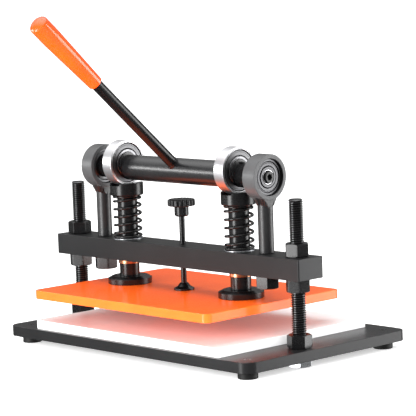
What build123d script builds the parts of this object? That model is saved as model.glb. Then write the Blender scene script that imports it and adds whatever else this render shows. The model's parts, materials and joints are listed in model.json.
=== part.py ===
"""Manual lever press for cutting and embossing leather, in millimetres, +Z up.

Origin: on the press's middle plane, on the plane the feet stand on, halfway between the tip of the
raised lever and the back of the base. The user stands on the -Y side and pulls the lever down.
"""
from build123d import *
from math import cos, pi, radians, sin
import os

# --- base ---------------------------------------------------------------------------------------
BASE_W, BASE_D, BASE_T = 400.0, 252.0, 12.0  # steel plate
BASE_Y = 53.0  # centre of the base
BASE_CORNER_R = 14.0
FOOT_D, FOOT_H = 22.0, 8.5  # rubber feet
FOOT_INSET = 20.0  # foot axis to each edge of the base
FOOT_RECESS_D, FOOT_RECESS_H = 10.0, 5.0  # pocket for the screw's nut
FOOT_CHAMFER, FOOT_SCREW_TIP_Z = 1.0, 1.5
FOOT_SCREW_D, FOOT_SCREW_HEAD_D = 5.0, 9.5  # countersunk M5
FOOT_NUT_AF, FOOT_NUT_H = 8.0, 3.0
BOARD_W, BOARD_D, BOARD_T = 305.0, 230.0, 10.0  # plastic cutting board
BOARD_Y = BASE_Y - 6.0
BOARD_CORNER_R = 2.0

# --- columns and their nuts ---------------------------------------------------------------------
COLUMN_X, PRESS_Y = 180.0, 26.0  # columns, beam, shaft and plungers share one plane
THREAD_D = 16.0  # M16
NUT_AF, NUT_H, THIN_NUT_H = 24.0, 14.8, 8.0  # ISO 4032 and ISO 4035
RUNNING = 0.05  # radial clearance of a running fit
COLUMN_TOP, COLUMN_CHAMFER = 181.5, 1.2
# how far each nut is turned about its column or post, in degrees: left, right
NUT_TURNS = {
    "base": (4, -22),
    "bottom": (15, 15),
    "lower": (-30, -38),
    "upper": (-13, -43),
    "post": (-32, -46),
}

# --- head: beam, posts, shaft bearings ----------------------------------------------------------
BEAM_W, BEAM_D, BEAM_H = 400.0, 38.0, 23.5
BEAM_Z, BEAM_EDGE = 96.0, 0.8  # underside, as the head is set, and edge chamfer
COLUMN_HOLE_D = 17.0
POST_X, POST_D = 134.0, 17.0
SHAFT_Z = 202.75
HOUSING_D, HOUSING_BORE, HOUSING_W = 50.0, 40.0, 18.0
BEARING_W = 12.0  # 17 x 40 x 12 ball bearing in each housing
BEARING_RACE_R = (8.5, 11.5, 17.0, 20.0)  # bore, inner ring, outer ring, outside
BUSH_D, PLUNGER_D = 25.0, 23.0
BUSH_STANDOUT = 5.0  # below the beam
WASHER_D, WASHER_T = 35.0, 1.0

# --- lever shaft --------------------------------------------------------------------------------
SHAFT_D, HUB_D = 29.0, 27.0
ECCENTRICITY, ECCENTRIC_ANGLE = 6.65, 32.0  # angle from the vertical towards the user
LEVER_D, LEVER_ANGLE = 13.0, 48.4  # angle from the vertical towards the user
LEVER_SEAT_R, LEVER_END_R = 4.0, 256.0  # along the lever, from the shaft's axis
GRIP_R = (160.0, 268.0)  # ends of the grip along the lever
GRIP_D = (15.8, 22.0)  # at the lower end and near the tip
END_SCREW_HEAD_D, END_SCREW_HEAD_H, END_SCREW_D = 13.0, 8.0, 8.0
END_SCREW_STANDOUT, END_SCREW_SHANK, END_SCREW_GAP = 2.4, 45.0, 0.5
END_SOCKET_AF, END_SOCKET_H = 6.0, 4.0

# --- press rollers (25 x 52 x 15 ball bearings on the eccentric journals) -----------------------
ROLLER_X, ROLLER_W = 92.5, 15.0
ROLLER_RACE_R = (12.5, 15.7, 23.0, 26.0)
ROLLER_SIDE_GAP = 0.5
SHIELD_T, SHIELD_INSET, SHIELD_GAP = 0.8, 0.5, 0.3

# --- plungers, springs and press plate ----------------------------------------------------------
CAP_D, CAP_Z, CAP_TOP, CAP_CHAMFER = 38.5, 170.2, 184.8, 1.0
SLOT_W = 15.6  # the roller runs in this slot
ROLLER_LIFT = 0.3  # slot floor to roller with the lever up
SPRING_D, SPRING_WIRE_D, SPRING_TURNS = 33.5, 3.0, 6.0
PLATE_W, PLATE_D, PLATE_T = 290.0, 206.0, 10.0
PLATE_TOP, PLATE_CORNER_R = 67.5, 8.0
FLANGE_D, FLANGE_TOP_D, FLANGE_RIM_H, FLANGE_H = 51.0, 41.0, 6.5, 9.0
PLATE_SCREW_D, PLATE_SCREW_HEAD_D, PLATE_SCREW_GRIP = 8.0, 16.0, 14.0  # countersunk M8
PLATE_SOCKET_AF, PLATE_SOCKET_H = 5.0, 3.0

# --- centre rod and knob ------------------------------------------------------------------------
ROD_D, ROD_HOLE_D = 6.5, 8.0
CONE_FLOOR = 1.0  # metal left under the rod's end
CONE_D, CONE_RIM_H, CONE_TOP_D, CONE_H = 23.4, 2.5, 9.0, 8.0
KNOB_D, KNOB_Z, KNOB_H, KNOB_EDGE_R = 31.4, 163.2, 8.0, 1.5
KNOB_HUB_D, KNOB_HUB_Z = 16.2, 151.3
KNOB_FLUTES, FLUTE_R = 20, 1.7

# --- heights and places that follow -------------------------------------------------------------
BASE_TOP = FOOT_H + BASE_T
BEAM_TOP = BEAM_Z + BEAM_H
ECC_Y = PRESS_Y - ECCENTRICITY * sin(radians(ECCENTRIC_ANGLE))
ECC_Z = SHAFT_Z + ECCENTRICITY * cos(radians(ECCENTRIC_ANGLE))
SLOT_FLOOR = ECC_Z - ROLLER_RACE_R[3] - ROLLER_LIFT
BEARING_X = POST_X - BEARING_W / 2
SPRING_Z = BEAM_TOP + WASHER_T
FLANGE_TOP = PLATE_TOP + FLANGE_H
SIDES = {"left": -1, "right": 1}


def cylinder(x, y, z, diameter, height):
    """An upright cylinder standing on z."""
    return Pos(x, y, z) * Cylinder(diameter / 2, height, align=(Align.CENTER, Align.CENTER, Align.MIN))


def cone(x, y, z, bottom_d, top_d, height):
    standing = (Align.CENTER, Align.CENTER, Align.MIN)
    return Pos(x, y, z) * Cone(bottom_d / 2, top_d / 2, height, align=standing)


def bar(x0, x1, y, z, radius):
    """A round bar along X from x0 to x1."""
    return Pos((x0 + x1) / 2, y, z) * Rot(0, 90, 0) * Cylinder(radius, abs(x1 - x0))


def tube(x0, x1, y, z, inner, outer):
    return bar(x0, x1, y, z, outer) - bar(min(x0, x1) - 1, max(x0, x1) + 1, y, z, inner)


def slab(width, depth, thickness, y, z, corner_r):
    """A flat plate centred on x = 0 with rounded upright corners, standing on z."""
    outline = RectangleRounded(width, depth, corner_r)
    return Pos(0, y, z) * extrude(outline, thickness)


def hex_prism(x, y, z, across_flats, height, turn=0.0):
    outline = Rot(0, 0, turn) * RegularPolygon(across_flats / 2, 6, major_radius=False)
    return Pos(x, y, z) * extrude(outline, height)


def nut(x, y, z, across_flats, height, bore_d, turn=0.0):
    """A hexagon nut with its corners turned off at both ends."""
    corner_r = across_flats / 3**0.5
    drop = (corner_r - across_flats / 2) * 0.6
    turned = cylinder(x, y, z + drop, 2 * corner_r + 1, height - 2 * drop)
    turned += cone(x, y, z, across_flats - 1, 2 * corner_r + 1, drop)
    turned += cone(x, y, z + height - drop, 2 * corner_r + 1, across_flats - 1, drop)
    body = hex_prism(x, y, z, across_flats, height, turn) & turned
    return body - cylinder(x, y, z - 1, bore_d, height + 2)


def column_nut(place, side_index, x, z, bore_d, height=NUT_H):
    return nut(x, PRESS_Y, z, NUT_AF, height, bore_d, NUT_TURNS[place][side_index])


def along_lever(distance):
    """A location on the lever's axis, with its Z along the lever, away from the shaft."""
    return Pos(0, PRESS_Y, SHAFT_Z) * Rot(LEVER_ANGLE, 0, 0) * Pos(0, 0, distance)


def foot_places():
    for x in (-1, 1):
        for y in (-1, 1):
            yield x * (BASE_W / 2 - FOOT_INSET), BASE_Y + y * (BASE_D / 2 - FOOT_INSET)


def countersunk_screw(x, y, top, head_d, shank_d, length):
    """Screw with its flat head level with top, pointing down."""
    head_h = (head_d - shank_d) / 2
    return cylinder(x, y, top - length, shank_d, length) + cone(x, y, top - head_h, shank_d, head_d, head_h)


def ball_ring(x, y, z, inner, outer, count):
    pitch_r = (inner + outer) / 2
    ball_r = (outer - inner) / 2 - 0.15
    balls = []
    for i in range(count):
        a = 2 * pi * i / count
        balls.append(Pos(x, y + pitch_r * sin(a), z + pitch_r * cos(a)) * Sphere(ball_r))
    return balls


def shields(x_centre, width, y, z, inner, outer):
    """The two thin side discs of a ball bearing."""
    discs = []
    for side in (-1, 1):
        face = x_centre + side * (width / 2 - SHIELD_INSET)
        discs.append(tube(face - side * SHIELD_T, face, y, z, inner + SHIELD_GAP, outer))
    return discs


def make_base():
    plate = slab(BASE_W, BASE_D, BASE_T, BASE_Y, FOOT_H, BASE_CORNER_R)
    feet, screws, foot_nuts = [], [], []
    screw_length = BASE_TOP - FOOT_SCREW_TIP_Z
    for x, y in foot_places():
        screw = countersunk_screw(x, y, BASE_TOP, FOOT_SCREW_HEAD_D, FOOT_SCREW_D, screw_length)
        plate -= screw
        foot = cylinder(x, y, 0, FOOT_D, FOOT_H)
        foot = chamfer(foot.edges().group_by(Axis.Z)[0], FOOT_CHAMFER)
        foot -= cylinder(x, y, 0, FOOT_RECESS_D, FOOT_RECESS_H) + screw
        feet.append(foot)
        screws.append(screw)
        foot_nuts.append(nut(x, y, FOOT_RECESS_H - FOOT_NUT_H, FOOT_NUT_AF, FOOT_NUT_H, FOOT_SCREW_D))
    board = slab(BOARD_W, BOARD_D, BOARD_T, BOARD_Y, BASE_TOP, BOARD_CORNER_R)
    nodes = {"cutting_board": board, "rubber_feet": feet, "foot_screws": screws, "foot_nuts": foot_nuts}
    base_nuts, bottom_nuts = [], []
    for i, (side, sign) in enumerate(SIDES.items()):
        x = sign * COLUMN_X
        plate -= cylinder(x, PRESS_Y, 0, THREAD_D, BASE_TOP + 1)
        rod = cylinder(x, PRESS_Y, FOOT_H - THIN_NUT_H, THREAD_D, COLUMN_TOP - FOOT_H + THIN_NUT_H)
        nodes[f"{side}_column"] = chamfer(rod.edges().group_by(Axis.Z)[-1], COLUMN_CHAMFER)
        base_nuts.append(column_nut("base", i, x, BASE_TOP, THREAD_D))
        bottom_nuts.append(column_nut("bottom", i, x, FOOT_H - THIN_NUT_H, THREAD_D, THIN_NUT_H))
    nodes["base_plate"] = plate
    nodes["base_nuts"] = base_nuts
    nodes["bottom_nuts"] = bottom_nuts
    return nodes


def upright_bore(x, diameter):
    """A cutter on the press's plane, longer than anything it bores."""
    return cylinder(x, PRESS_Y, 0, diameter, SHAFT_Z)


def through_beam(x, diameter):
    return cylinder(x, PRESS_Y, BEAM_Z - 1, diameter, BEAM_H + 2)


def make_head():
    beam = Pos(0, PRESS_Y, BEAM_Z + BEAM_H / 2) * Box(BEAM_W, BEAM_D, BEAM_H)
    beam = chamfer(beam.edges(), BEAM_EDGE)
    beam -= through_beam(0, ROD_HOLE_D)
    running_d = THREAD_D + 2 * RUNNING
    nodes = {}
    upper_nuts, lower_nuts, post_nuts, washers = [], [], [], []
    for i, (side, sign) in enumerate(SIDES.items()):
        column_x, post_x, plunger_x = sign * COLUMN_X, sign * POST_X, sign * ROLLER_X
        beam -= through_beam(column_x, COLUMN_HOLE_D)
        beam -= through_beam(post_x, THREAD_D)
        beam -= through_beam(plunger_x, BUSH_D)
        upper_nuts.append(column_nut("upper", i, column_x, BEAM_TOP, running_d))
        lower_nuts.append(column_nut("lower", i, column_x, BEAM_Z - NUT_H, running_d))
        post_nuts.append(column_nut("post", i, post_x, BEAM_Z - NUT_H, THREAD_D))

        ring = bar(post_x - HOUSING_W / 2, post_x + HOUSING_W / 2, PRESS_Y, SHAFT_Z, HOUSING_D / 2)
        post = cylinder(post_x, PRESS_Y, BEAM_TOP, POST_D, SHAFT_Z - BEAM_TOP) - ring
        post += cylinder(post_x, PRESS_Y, BEAM_Z - NUT_H, THREAD_D, BEAM_H + NUT_H)
        bore = bar(post_x - HOUSING_W, post_x + HOUSING_W, PRESS_Y, SHAFT_Z, HOUSING_BORE / 2)
        nodes[f"{side}_post"] = post
        nodes[f"{side}_bearing_housing"] = ring - bore

        _, inner, race, outside = BEARING_RACE_R
        x0, x1 = post_x - BEARING_W / 2, post_x + BEARING_W / 2
        nodes[f"{side}_shaft_bearing_ring"] = tube(x0, x1, PRESS_Y, SHAFT_Z, race, outside)
        nodes[f"{side}_shaft_bearing_balls"] = ball_ring(post_x, PRESS_Y, SHAFT_Z, inner, race, 8)
        nodes[f"{side}_shaft_bearing_shields"] = shields(post_x, BEARING_W, PRESS_Y, SHAFT_Z, inner, race)

        bush = cylinder(plunger_x, PRESS_Y, BEAM_Z - BUSH_STANDOUT, BUSH_D, BEAM_H + BUSH_STANDOUT)
        nodes[f"{side}_guide_bush"] = bush - upright_bore(plunger_x, PLUNGER_D + 2 * RUNNING)
        washer = cylinder(plunger_x, PRESS_Y, BEAM_TOP, WASHER_D, WASHER_T)
        washers.append(washer - upright_bore(plunger_x, PLUNGER_D + 1))
        nodes[f"{side}_return_spring"] = make_spring(plunger_x)
    nodes["crossbeam"] = beam
    nodes["upper_nuts"] = upper_nuts
    nodes["lower_nuts"] = lower_nuts
    nodes["post_nuts"] = post_nuts
    nodes["spring_washers"] = washers
    return nodes


def make_spring(x):
    """Open-coil compression spring between the washer and the plunger's cap."""
    coil_r = (SPRING_D - SPRING_WIRE_D) / 2
    height = CAP_Z - SPRING_Z - SPRING_WIRE_D
    path = Helix(pitch=height / SPRING_TURNS, height=height, radius=coil_r)
    section = Plane(origin=path @ 0, z_dir=path % 0) * Circle(SPRING_WIRE_D / 2)
    wire = sweep(section, path=path, is_frenet=True)
    return Pos(x, PRESS_Y, SPRING_Z + SPRING_WIRE_D / 2) * wire


def make_lever_shaft():
    journal_x = ROLLER_X - ROLLER_W / 2 - ROLLER_SIDE_GAP
    hub_x = ROLLER_X + ROLLER_W / 2 + ROLLER_SIDE_GAP
    end_x = BEARING_X + BEARING_W
    shaft = bar(-journal_x, journal_x, PRESS_Y, SHAFT_Z, SHAFT_D / 2)
    nodes, bearing_rings, roller_rings, end_screws = {}, [], [], []
    for side, sign in SIDES.items():
        shaft += bar(sign * journal_x, sign * hub_x, ECC_Y, ECC_Z, ROLLER_RACE_R[0])
        hub = bar(sign * hub_x, sign * BEARING_X, PRESS_Y, SHAFT_Z, HUB_D / 2)
        hub += bar(sign * BEARING_X, sign * end_x, PRESS_Y, SHAFT_Z, BEARING_RACE_R[0])
        head_x = end_x + END_SCREW_STANDOUT
        pocket_x = head_x - END_SCREW_HEAD_H
        screw = bar(sign * pocket_x, sign * head_x, PRESS_Y, SHAFT_Z, END_SCREW_HEAD_D / 2)
        shank = bar(sign * (pocket_x - END_SCREW_SHANK), sign * pocket_x, PRESS_Y, SHAFT_Z, END_SCREW_D / 2)
        pocket_r = END_SCREW_HEAD_D / 2 + END_SCREW_GAP
        hub -= bar(sign * pocket_x, sign * (end_x + 1), PRESS_Y, SHAFT_Z, pocket_r) + shank
        shaft -= shank
        nodes[f"{side}_shaft_hub"] = hub
        socket = extrude(RegularPolygon(END_SOCKET_AF / 2, 6, major_radius=False), END_SOCKET_H + 1)
        socket = Pos(sign * (head_x - END_SOCKET_H), PRESS_Y, SHAFT_Z) * Rot(0, 90 * sign, 0) * socket
        end_screws.append(screw + shank - socket)
        bore, inner, _, _ = BEARING_RACE_R
        bearing_rings.append(tube(sign * BEARING_X, sign * end_x, PRESS_Y, SHAFT_Z, bore, inner))
        bore, inner, _, _ = ROLLER_RACE_R
        x0, x1 = sign * (ROLLER_X - ROLLER_W / 2), sign * (ROLLER_X + ROLLER_W / 2)
        roller_rings.append(tube(x0, x1, ECC_Y, ECC_Z, bore, inner))

    rod_length = LEVER_END_R - LEVER_SEAT_R
    rod = along_lever(LEVER_SEAT_R + rod_length / 2) * Cylinder(LEVER_D / 2, rod_length)
    shaft -= rod
    return nodes | {
        "eccentric_shaft": shaft,
        "lever_rod": rod,
        "lever_grip": make_grip() - rod,
        "shaft_bearing_inner_rings": bearing_rings,
        "roller_inner_rings": roller_rings,
        "shaft_end_screws": end_screws,
    }


def make_grip():
    """Dipped vinyl grip: a taper that swells towards a domed end."""
    start, end = GRIP_R
    tip_r = GRIP_D[1] / 2
    body = cone(0, 0, start, GRIP_D[0], GRIP_D[1], end - tip_r - start)
    dome = Pos(0, 0, end - tip_r) * Sphere(tip_r)
    return along_lever(0) * (body + dome)


def make_rollers():
    nodes = {}
    _, inner, race, outside = ROLLER_RACE_R
    for side, sign in SIDES.items():
        x = sign * ROLLER_X
        nodes[f"{side}_roller"] = tube(x - ROLLER_W / 2, x + ROLLER_W / 2, ECC_Y, ECC_Z, race, outside)
        nodes[f"{side}_roller_balls"] = ball_ring(x, ECC_Y, ECC_Z, inner, race, 9)
        nodes[f"{side}_roller_shields"] = shields(x, ROLLER_W, ECC_Y, ECC_Z, inner, race)
    return nodes


def make_press():
    plate = slab(PLATE_W, PLATE_D, PLATE_T, PRESS_Y, PLATE_TOP - PLATE_T, PLATE_CORNER_R)
    nodes, screws = {}, []
    for side, sign in SIDES.items():
        x = sign * ROLLER_X
        underside = PLATE_TOP - PLATE_T
        screw_length = PLATE_T + FLANGE_H + PLATE_SCREW_GRIP
        head_h = (PLATE_SCREW_HEAD_D - PLATE_SCREW_D) / 2
        screw = cylinder(x, PRESS_Y, underside, PLATE_SCREW_D, screw_length)
        screw += cone(x, PRESS_Y, underside, PLATE_SCREW_HEAD_D, PLATE_SCREW_D, head_h)
        flange = cylinder(x, PRESS_Y, PLATE_TOP, FLANGE_D, FLANGE_RIM_H)
        rim_top = PLATE_TOP + FLANGE_RIM_H
        flange += cone(x, PRESS_Y, rim_top, FLANGE_D, FLANGE_TOP_D, FLANGE_TOP - rim_top)
        plunger = cylinder(x, PRESS_Y, FLANGE_TOP, PLUNGER_D, CAP_Z - FLANGE_TOP)
        cap = cylinder(x, PRESS_Y, CAP_Z, CAP_D, CAP_TOP - CAP_Z)
        cap = chamfer(cap.edges().group_by(Axis.Z)[0], CAP_CHAMFER)
        slot_h = CAP_TOP - SLOT_FLOOR
        cap -= Pos(x, PRESS_Y, SLOT_FLOOR + slot_h) * Box(SLOT_W, CAP_D + 2, 2 * slot_h)
        plate -= screw
        nodes[f"{side}_foot_flange"] = flange - screw
        nodes[f"{side}_plunger"] = plunger + cap - screw
        screws.append(screw - hex_prism(x, PRESS_Y, underside, PLATE_SOCKET_AF, PLATE_SOCKET_H))
    nodes["plate_screws"] = screws
    foot = cylinder(0, PRESS_Y, PLATE_TOP, CONE_D, CONE_RIM_H)
    foot += cone(0, PRESS_Y, PLATE_TOP + CONE_RIM_H, CONE_D, CONE_TOP_D, CONE_H - CONE_RIM_H)
    nodes["centre_foot"] = foot - cylinder(0, PRESS_Y, PLATE_TOP + CONE_FLOOR, ROD_D + 2 * RUNNING, CONE_H)
    nodes["press_plate"] = plate
    return nodes


def make_knob():
    rod_bottom = PLATE_TOP + CONE_FLOOR + RUNNING
    rod_top = KNOB_Z + KNOB_H / 2
    rod = cylinder(0, PRESS_Y, rod_bottom, ROD_D, rod_top - rod_bottom)
    disc = cylinder(0, PRESS_Y, KNOB_Z, KNOB_D, KNOB_H)
    disc = fillet(disc.edges().group_by(Axis.Z)[-1], KNOB_EDGE_R)
    for i in range(KNOB_FLUTES):
        a = 2 * pi * i / KNOB_FLUTES
        x, y = KNOB_D / 2 * cos(a), PRESS_Y + KNOB_D / 2 * sin(a)
        disc -= cylinder(x, y, KNOB_Z - 1, FLUTE_R, KNOB_H + 2)
    hub = cylinder(0, PRESS_Y, KNOB_HUB_Z, KNOB_HUB_D, KNOB_Z - KNOB_HUB_Z)
    hub = chamfer(hub.edges().group_by(Axis.Z)[0], KNOB_EDGE_R)
    return {"centre_rod": rod, "star_knob": disc + hub - rod}


def solids_of(shape):
    """Every separate solid of a piece or of a list of pieces."""
    pieces = shape if isinstance(shape, list) else [shape]
    return [solid for piece in pieces for solid in piece.solids()]


def main():
    os.makedirs("parts", exist_ok=True)
    for make in (make_base, make_head, make_lever_shaft, make_rollers, make_press, make_knob):
        for node, shape in make().items():
            solids = solids_of(shape)
            export_step(solids[0] if len(solids) == 1 else Compound(children=solids), f"parts/{node}.step")


main()
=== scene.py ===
"""Looks of the tabletop lever press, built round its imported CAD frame.

Shapes are worked out in millimetres in the frame's own axes and scaled to metres when a piece is made.
"""
import json
from math import atan2, ceil, cos, hypot, pi, radians, sin, sqrt, tan

import bmesh
import bpy
from mathutils import Matrix, Vector, noise

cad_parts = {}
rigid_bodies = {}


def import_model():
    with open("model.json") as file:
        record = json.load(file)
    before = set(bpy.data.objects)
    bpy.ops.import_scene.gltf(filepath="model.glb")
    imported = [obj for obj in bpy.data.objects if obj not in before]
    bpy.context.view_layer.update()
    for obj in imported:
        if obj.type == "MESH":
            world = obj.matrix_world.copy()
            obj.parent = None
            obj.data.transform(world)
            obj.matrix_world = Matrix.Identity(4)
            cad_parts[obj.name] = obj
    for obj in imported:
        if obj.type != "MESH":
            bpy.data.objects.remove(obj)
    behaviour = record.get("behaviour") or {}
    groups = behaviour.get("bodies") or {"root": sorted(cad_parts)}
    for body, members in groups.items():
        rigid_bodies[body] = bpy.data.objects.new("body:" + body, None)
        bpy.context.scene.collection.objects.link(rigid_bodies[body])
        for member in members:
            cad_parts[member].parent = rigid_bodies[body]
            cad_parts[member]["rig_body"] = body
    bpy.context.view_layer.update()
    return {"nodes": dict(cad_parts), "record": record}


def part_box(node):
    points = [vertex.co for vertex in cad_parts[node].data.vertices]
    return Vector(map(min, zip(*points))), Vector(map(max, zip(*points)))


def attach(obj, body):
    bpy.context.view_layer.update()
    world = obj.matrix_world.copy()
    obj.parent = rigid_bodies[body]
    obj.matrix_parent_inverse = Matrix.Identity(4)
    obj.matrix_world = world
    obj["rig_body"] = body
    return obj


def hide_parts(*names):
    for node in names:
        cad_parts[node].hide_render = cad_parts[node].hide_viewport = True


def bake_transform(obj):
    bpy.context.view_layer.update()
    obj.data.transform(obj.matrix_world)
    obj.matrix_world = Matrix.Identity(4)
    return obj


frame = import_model()

MM = 0.001
SIDES = {"left": -1, "right": 1}
SLOT_OF = {part["node"]: part["material_slot"] for part in frame["record"]["subparts"]}


def box_mm(node):
    """Lowest and highest corner of a CAD node, in millimetres."""
    low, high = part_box(node)
    return low / MM, high / MM


def middle(node):
    low, high = box_mm(node)
    return (low + high) / 2


def size(node):
    low, high = box_mm(node)
    return high - low


# --- places that the frame gives ----------------------------------------------------------------
PRESS_Y = middle("crossbeam").y
BEAM_LOW, BEAM_HIGH = box_mm("crossbeam")
BASE_LOW, BASE_HIGH = box_mm("base_plate")
COLUMN_X = middle("right_column").x
POST_X = middle("right_post").x
PLUNGER_X = middle("right_plunger").x
SHAFT_Z = middle("right_bearing_housing").z
ECCENTRIC = middle("right_roller")


# --- materials ----------------------------------------------------------------------------------
def new_material(name):
    material = bpy.data.materials.new(name)
    material.use_nodes = True
    tree = material.node_tree
    return material, tree, tree.nodes["Principled BSDF"]


def object_coordinates(tree, stretch=(1, 1, 1)):
    """Object coordinates, which move with the piece, scaled by stretch."""
    coordinates = tree.nodes.new("ShaderNodeTexCoord")
    mapping = tree.nodes.new("ShaderNodeMapping")
    mapping.inputs["Scale"].default_value = stretch
    tree.links.new(coordinates.outputs["Object"], mapping.inputs["Vector"])
    return mapping.outputs["Vector"]


def noise_of(tree, vector, per_metre, detail=3.0):
    texture = tree.nodes.new("ShaderNodeTexNoise")
    texture.inputs["Scale"].default_value = per_metre
    texture.inputs["Detail"].default_value = detail
    tree.links.new(vector, texture.inputs["Vector"])
    return texture.outputs["Fac"]


def between(tree, factor, low, high, start=0.3, end=0.7):
    """A number that goes from low to high as factor goes from start to end."""
    spread = tree.nodes.new("ShaderNodeMapRange")
    for socket, value in (("From Min", start), ("From Max", end), ("To Min", low), ("To Max", high)):
        spread.inputs[socket].default_value = value
    tree.links.new(factor, spread.inputs["Value"])
    return spread.outputs["Result"]


def colour_between(tree, factor, dark, light):
    mix = tree.nodes.new("ShaderNodeMix")
    mix.data_type = "RGBA"
    mix.inputs[6].default_value = (*dark, 1)
    mix.inputs[7].default_value = (*light, 1)
    tree.links.new(between(tree, factor, 0, 1), mix.inputs["Factor"])
    return mix.outputs[2]


def bump(tree, height, strength, distance_mm, after=None):
    node = tree.nodes.new("ShaderNodeBump")
    node.inputs["Strength"].default_value = strength
    node.inputs["Distance"].default_value = distance_mm * MM
    tree.links.new(height, node.inputs["Height"])
    if after is not None:
        tree.links.new(after, node.inputs["Normal"])
    return node.outputs["Normal"]


def finish(name, dark, light, rough, grain, relief, mottle=25, stretch=(1, 1, 1), **sockets):
    """A surface whose colour drifts from dark to light in patches and whose grain moves roughness and bump.

    rough is (low, high); grain is grains per metre; relief is (strength, depth in mm); sockets are the
    shader's own values that are the same all over.
    """
    material, tree, shader = new_material(name)
    for socket, value in sockets.items():
        shader.inputs[socket.replace("_", " ")].default_value = value
    plain = object_coordinates(tree)
    grained = object_coordinates(tree, stretch)
    patches = noise_of(tree, plain, mottle)
    fine = noise_of(tree, grained, grain, detail=4)
    tree.links.new(colour_between(tree, patches, dark, light), shader.inputs["Base Color"])
    tree.links.new(between(tree, fine, *rough), shader.inputs["Roughness"])
    tree.links.new(bump(tree, fine, *relief), shader.inputs["Normal"])
    return material


def powder_coat(name, dark, light, rough, ior=1.5):
    """Satin powder coat: soft orange peel about a millimetre across, over a finer grain."""
    material, tree, shader = new_material(name)
    shader.inputs["IOR"].default_value = ior
    plain = object_coordinates(tree)
    patches = noise_of(tree, plain, 18)
    peel = noise_of(tree, plain, 900, detail=1)
    fine = noise_of(tree, plain, 3500, detail=2)
    tree.links.new(colour_between(tree, patches, dark, light), shader.inputs["Base Color"])
    tree.links.new(between(tree, fine, *rough), shader.inputs["Roughness"])
    shape = bump(tree, peel, 0.35, 0.05)
    tree.links.new(bump(tree, fine, 0.25, 0.02, after=shape), shader.inputs["Normal"])
    return material


def scratched_board():
    """White polyethylene with faint cuts from a knife, and a slightly wavy gloss."""
    material, tree, shader = new_material("white_board")
    shader.inputs["IOR"].default_value = 1.5
    plain = object_coordinates(tree)
    patches = noise_of(tree, plain, 14)
    waves = noise_of(tree, plain, 45, detail=2)
    cuts = noise_of(tree, object_coordinates(tree, (1, 14, 1)), 90, detail=5)
    tree.links.new(colour_between(tree, patches, (0.88, 0.88, 0.885), (0.93, 0.93, 0.93)),
                   shader.inputs["Base Color"])
    tree.links.new(between(tree, cuts, 0.1, 0.24), shader.inputs["Roughness"])
    shape = bump(tree, waves, 0.2, 0.12)
    tree.links.new(bump(tree, cuts, 0.12, 0.03, after=shape), shader.inputs["Normal"])
    return material


def spangled_zinc():
    """Zinc plate: small crystals that differ a little in shade."""
    material, tree, shader = new_material("zinc")
    shader.inputs["Metallic"].default_value = 1.0
    vector = object_coordinates(tree)
    crystals = tree.nodes.new("ShaderNodeTexVoronoi")
    crystals.inputs["Scale"].default_value = 700
    tree.links.new(vector, crystals.inputs["Vector"])
    fine = noise_of(tree, vector, 2500)
    shade = crystals.outputs["Distance"]
    tree.links.new(colour_between(tree, shade, (0.74, 0.76, 0.79), (0.60, 0.62, 0.65)),
                   shader.inputs["Base Color"])
    tree.links.new(between(tree, fine, 0.22, 0.38), shader.inputs["Roughness"])
    tree.links.new(bump(tree, fine, 0.2, 0.01), shader.inputs["Normal"])
    return material


ACROSS_X = (9, 0.4, 0.4)  # stretches grain into lines turned about X
ACROSS_Z = (0.4, 0.4, 9)  # the same about Z

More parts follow.
